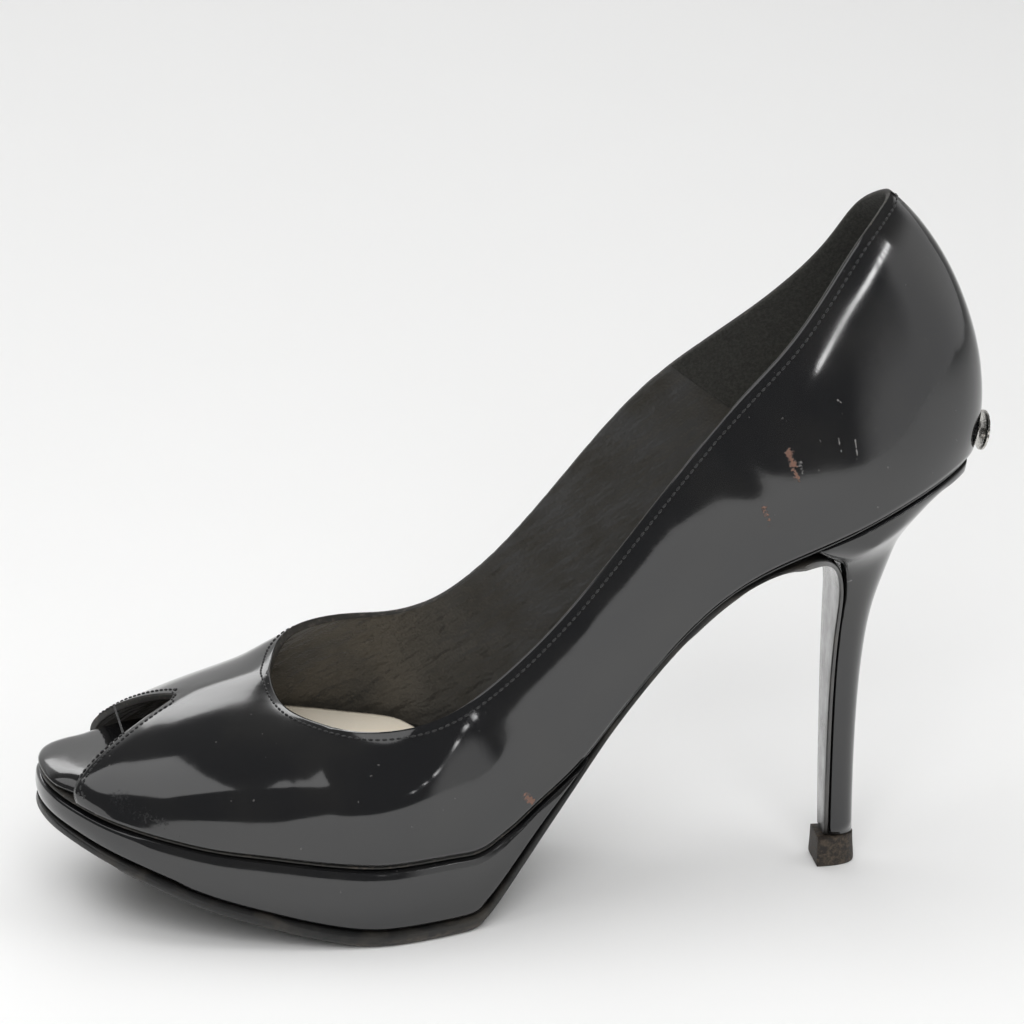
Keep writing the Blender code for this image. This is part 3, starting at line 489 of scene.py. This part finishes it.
def rim_of(faces, others):
    """The edge between two sets of faces, as rows of points, each with the way into the first set."""
    sides = [s for f in faces for s in f.edges if any(g in others for g in s.link_faces)]
    links = {}
    for side in sides:
        for end in side.verts:
            links.setdefault(end, []).append(side.other_vert(end))
    rows = []
    while links:
        ends = [v for v, near in links.items() if len(near) == 1]
        at = ends[0] if ends else next(iter(links))
        row = [at]
        while links.get(at):
            nxt = links[at].pop()
            links[nxt].remove(at)
            if not links[at]:
                links.pop(at, None)
            at = nxt
            row.append(at)
        links.pop(at, None)
        rows.append([(v.co.copy(), into_faces(v, faces)) for v in row])
        links = {v: near for v, near in links.items() if near}
    return rows


edge_faces = set(shell.faces) - outside - inside
rims = rim_of(outside, edge_faces)
collar, edge = sorted(rims, key=lambda row: -min(point.z for point, into in row))
SPLITS = 8               # points on each side of the collar's edge, for measuring how near it is
collar_tree = KDTree(SPLITS * len(collar))
for k, (point, into) in enumerate(collar):
    after = collar[(k + 1) % len(collar)][0]
    for step in range(SPLITS):
        collar_tree.insert(point.lerp(after, step / SPLITS), SPLITS * k + step)
collar_tree.balance()
upper = settled(shell, "Upper_shell", (patent, lining, ink), press_folds)
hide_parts("upper")
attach(upper, "root")

# Topline stitching. One row of black thread runs round the collar and one round the toe opening,
# 2 mm inside the cut edge, about six stitches to the centimetre, each sunk to half its thickness.

THREAD_RADIUS = 0.00026
THREAD_LIFT = 0.00003
STITCH_LENGTH = 0.00125
PITCH = 0.00160
STITCH_INSET = 0.0020
PEEP_END = -0.045        # the toe opening lies in front of this
PEEP_LOW = 0.031         # and above this; below it runs the line where the upper meets the sole

outer_skin = [face.vertices[:] for face in upper.data.polygons if face.material_index == 0]
skin_tree = BVHTree.FromPolygons([vertex.co for vertex in upper.data.vertices], outer_skin)


def seam_path(row, inset, between=6):
    """A smooth line on the outer skin, inset from the cut edge that the row follows."""
    last = len(row) - 1
    guides = []
    for k, (point, into) in enumerate(row):
        run = (row[min(k + 1, last)][0] - row[max(k - 1, 0)][0]).normalized()
        across = (into - run * into.dot(run)).normalized()
        guides.append(point + across * inset)
    path = []
    for k in range(last):
        before, here, after, beyond = (guides[min(max(k + step, 0), last)] for step in (-1, 0, 1, 2))
        for step in range(between):
            t = step / between
            bend = (here * 2.0 + (after - before) * t
                    + (before * 2.0 - here * 5.0 + after * 4.0 - beyond) * t * t
                    + (here * 3.0 - before - after * 3.0 + beyond) * t ** 3) * 0.5
            spot, facing = skin_tree.find_nearest(bend)[:2]
            path.append(spot + facing * THREAD_LIFT)
    return path


def line_of(name, path, closed):
    """A curve object through the points of the path."""
    curve = bpy.data.curves.new(name, "CURVE")
    curve.dimensions = "3D"
    line = curve.splines.new("POLY")
    line.points.add(len(path) - 1)
    for k, point in enumerate(path):
        line.points[k].co = (*point, 1.0)
    line.use_cyclic_u = closed
    made = bpy.data.objects.new(name, curve)
    bpy.context.scene.collection.objects.link(made)
    return made


thread = Finish("Black_thread", IOR=1.45, Sheen_Weight=0.2)
twist = thread.cloud(0.0004, 1.0)
thread.feed("Base Color", thread.mix(twist.ramp(0.3, 0.7), (0.006, 0.006, 0.007, 1.0),
                                     (0.030, 0.030, 0.030, 1.0)))
thread.feed("Roughness", twist.ramp(0.3, 0.7, 0.5, 0.7))
thread.relief(twist, 0.00005)


def stitch_tree():
    """Geometry nodes that set one stitch at each pitch of a seam line."""
    group = bpy.data.node_groups.new("Row_of_stitches", "GeometryNodeTree")
    face = group.interface
    face.new_socket("Geometry", in_out="OUTPUT", socket_type="NodeSocketGeometry")
    face.new_socket("Geometry", in_out="INPUT", socket_type="NodeSocketGeometry")
    inputs = {}
    measures = {"Pitch": PITCH, "Thread radius": THREAD_RADIUS, "Stitch length": STITCH_LENGTH}
    for name, value in measures.items():
        socket = face.new_socket(name, in_out="INPUT", socket_type="NodeSocketFloat")
        socket.default_value = value
        inputs[name] = socket.identifier
    tree = Tree(group)
    enter = group.nodes.new("NodeGroupInput")
    seam = Wire(tree, enter.outputs["Geometry"])
    pitch, radius, length = (Wire(tree, enter.outputs[name]) for name in measures)
    spaced = tree.node("GeometryNodeResampleCurve", {"mode": "LENGTH"}, {"Curve": seam, "Length": pitch})
    ball = tree.node("GeometryNodeMeshIcoSphere", {}, {"Subdivisions": 2, "Radius": radius}, "Mesh")
    stretch = tree.node("ShaderNodeCombineXYZ", {}, {0: 1.0, 1: 1.0, 2: length / radius * 0.5})
    run = tree.node("GeometryNodeInputTangent", {}, {})
    turn = tree.node("FunctionNodeAlignRotationToVector", {"axis": "Z"}, {"Vector": run})
    values = {"Points": spaced, "Instance": ball, "Rotation": turn, "Scale": stretch}
    placed = tree.node("GeometryNodeInstanceOnPoints", {}, values)
    real = tree.node("GeometryNodeRealizeInstances", {}, {0: placed})
    values = {"Geometry": real, "Material": thread.material}
    sewn = tree.node("GeometryNodeSetMaterial", {}, values)
    leave = group.nodes.new("NodeGroupOutput")
    group.links.new(sewn.socket, leave.inputs[0])
    return group, inputs


stitches, stitch_inputs = stitch_tree()


def sew(name, path, closed):
    """One row of stitches along the path, as a finished piece."""
    line = line_of(name + "_line", path, closed)
    row = line.modifiers.new("Stitches", "NODES")
    row.node_group = stitches
    row[stitch_inputs["Pitch"]] = PITCH
    seen = line.evaluated_get(bpy.context.evaluated_depsgraph_get())
    mesh = bpy.data.meshes.new_from_object(seen)
    bpy.data.objects.remove(line)
    mesh.name = name
    mesh.shade_smooth()
    made = bpy.data.objects.new(name, mesh)
    bpy.context.scene.collection.objects.link(made)
    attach(made, "root")


opening = [pair for pair in edge if pair[0].x < PEEP_END and pair[0].z > PEEP_LOW]
sew("Collar_stitches", seam_path(collar, STITCH_INSET), True)
sew("Peep_toe_stitches", seam_path(opening, STITCH_INSET), False)

# Insole. A moulded board cupped round the foot, its edge black; at the peep toe it swells into a
# padded tip that is covered in the same patent leather and turned under.

shape = merged("insole", 0.6)
insole = settled(shape, "Insole_padded_tip", (patent,))
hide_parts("insole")
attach(insole, "root")

# Sock. Thin beige leather glued over the insole from the ball to the heel, with a turned edge and
# the faint print of a foot.

beige = Finish("Beige_sock_leather", IOR=1.45)
pore = beige.pebbles(0.0007)
print_of_foot = beige.cloud(0.016, 3.0)
beige.feed("Base Color", beige.mix(print_of_foot.ramp(0.35, 0.8), (0.95, 0.87, 0.73, 1.0),
                                   (0.90, 0.80, 0.65, 1.0)))
beige.feed("Roughness", print_of_foot.ramp(0.3, 0.8, 0.45, 0.62))
beige.relief(pore * 0.5 + print_of_foot * 0.6, 0.0001)
shape = merged("sock", 0.9)
sock = settled(shape, "Beige_sock", (beige,))
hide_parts("sock")
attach(sock, "root")

# Midsole. A thin board whose dark edge shows as a groove between upper and platform; behind the
# platform the patent leather wraps under it and shows as a glossy strip at the waist.

WAIST_START = 0.030
shape = merged("midsole", 0.8)
for face in shape.faces:
    face.material_index = 1 if face.calc_center_median().x < WAIST_START else 0
midsole = settled(shape, "Midsole_edge", (patent, ink))
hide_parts("midsole")
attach(midsole, "root")

# Platform. A cork wedge under the forefoot, covered in patent leather that is drawn smooth over
# its wall and glued under its edges.

shape = merged("platform", 0.75)
platform = settled(shape, "Covered_platform", (patent,))
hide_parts("platform")
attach(platform, "root")

# Outsole. Thin black leather sole from the toe to the waist, bent down the breast of the heel. Its
# edge is waxed and scuffed, with brown dust where it has worn.

sole = Finish("Black_sole_leather", IOR=1.5, Coat_IOR=1.8, Coat_Roughness=0.14)
fibre = sole.cloud(0.0012, 5.0, 0.7, sole.stretched((4.0, 1.0, 1.0)))
scrape = sole.cloud(0.006, 4.0)
tread = sole.along("Z").ramp(0.0022, 0.0002)
wear = (tread * fibre.ramp(0.40, 0.62)).below(1.0)
waxed = sole.mix(scrape.ramp(0.4, 0.75), (0.012, 0.012, 0.012, 1.0), (0.038, 0.034, 0.029, 1.0))
sole.feed("Base Color", sole.mix(wear, waxed, (0.110, 0.092, 0.074, 1.0)))
sole.feed("Roughness", scrape.ramp(0.3, 0.8, 0.28, 0.55) + wear * 0.25)
flap = sole.along("X").ramp(0.078, 0.086) * sole.along("Z").ramp(0.008, 0.014)
sole.feed("Coat Weight", flap * 0.9)
sole.relief((fibre * 0.8 + scrape * 0.5) * (1.0 - flap * 0.8), 0.00018)
BEND_START = 0.066       # where the sole turns down the breast of the heel
BEND_END = 0.090
BEND_LOW = 0.06
shape = merged("outsole", 0.7)
bend = [corner for corner in shape.verts
        if BEND_START < corner.co.x < BEND_END and corner.co.z > BEND_LOW]
for step in range(3):
    bmesh.ops.smooth_vert(shape, verts=bend, factor=0.5, use_axis_z=True)
outsole = settled(shape, "Outsole_and_flap", (sole,))
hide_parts("outsole")
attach(outsole, "root")

# Heel. A moulded core wrapped in one piece of patent leather, closed by a seam at the breast that
# the flap of the outsole covers.

shape = merged("heel", 0.75)
heel = settled(shape, "Covered_heel", (patent,))
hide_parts("heel")
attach(heel, "root")

# Top lift. A small tip of hard rubber, cut to the foot of the heel and pinned under it. It is worn
# round at its edges and dusty.

rubber = Finish("Worn_rubber", IOR=1.5)
crumb = rubber.cloud(0.0009, 4.0, 0.7)
rubber.feed("Base Color", rubber.mix(crumb.ramp(0.4, 0.7), (0.016, 0.013, 0.011, 1.0),
                                     (0.085, 0.066, 0.048, 1.0)))
rubber.feed("Roughness", crumb.ramp(0.3, 0.8, 0.55, 0.8))
rubber.relief(crumb, 0.0003)
shape = merged("top_lift", 0.8)
lift = settled(shape, "Rubber_top_lift", (rubber,))
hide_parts("top_lift")
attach(lift, "root")

# Heel plate. A small plain oval of brushed white metal, held on two posts at the back of the heel
# seat.

steel = Finish("Brushed_white_metal", Metallic=1.0)
brush = steel.cloud(0.0005, 3.0, 0.6, steel.stretched((1.0, 6.5, 1.0)))
steel.feed("Base Color", steel.mix(brush.ramp(0.3, 0.7), (0.50, 0.48, 0.45, 1.0),
                                   (0.66, 0.64, 0.60, 1.0)))
steel.feed("Roughness", brush.ramp(0.2, 0.8, 0.20, 0.34))
steel.relief(brush, 0.00002)
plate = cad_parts["heel_plate"]
plate.data.materials.clear()
plate.data.materials.append(steel.material)
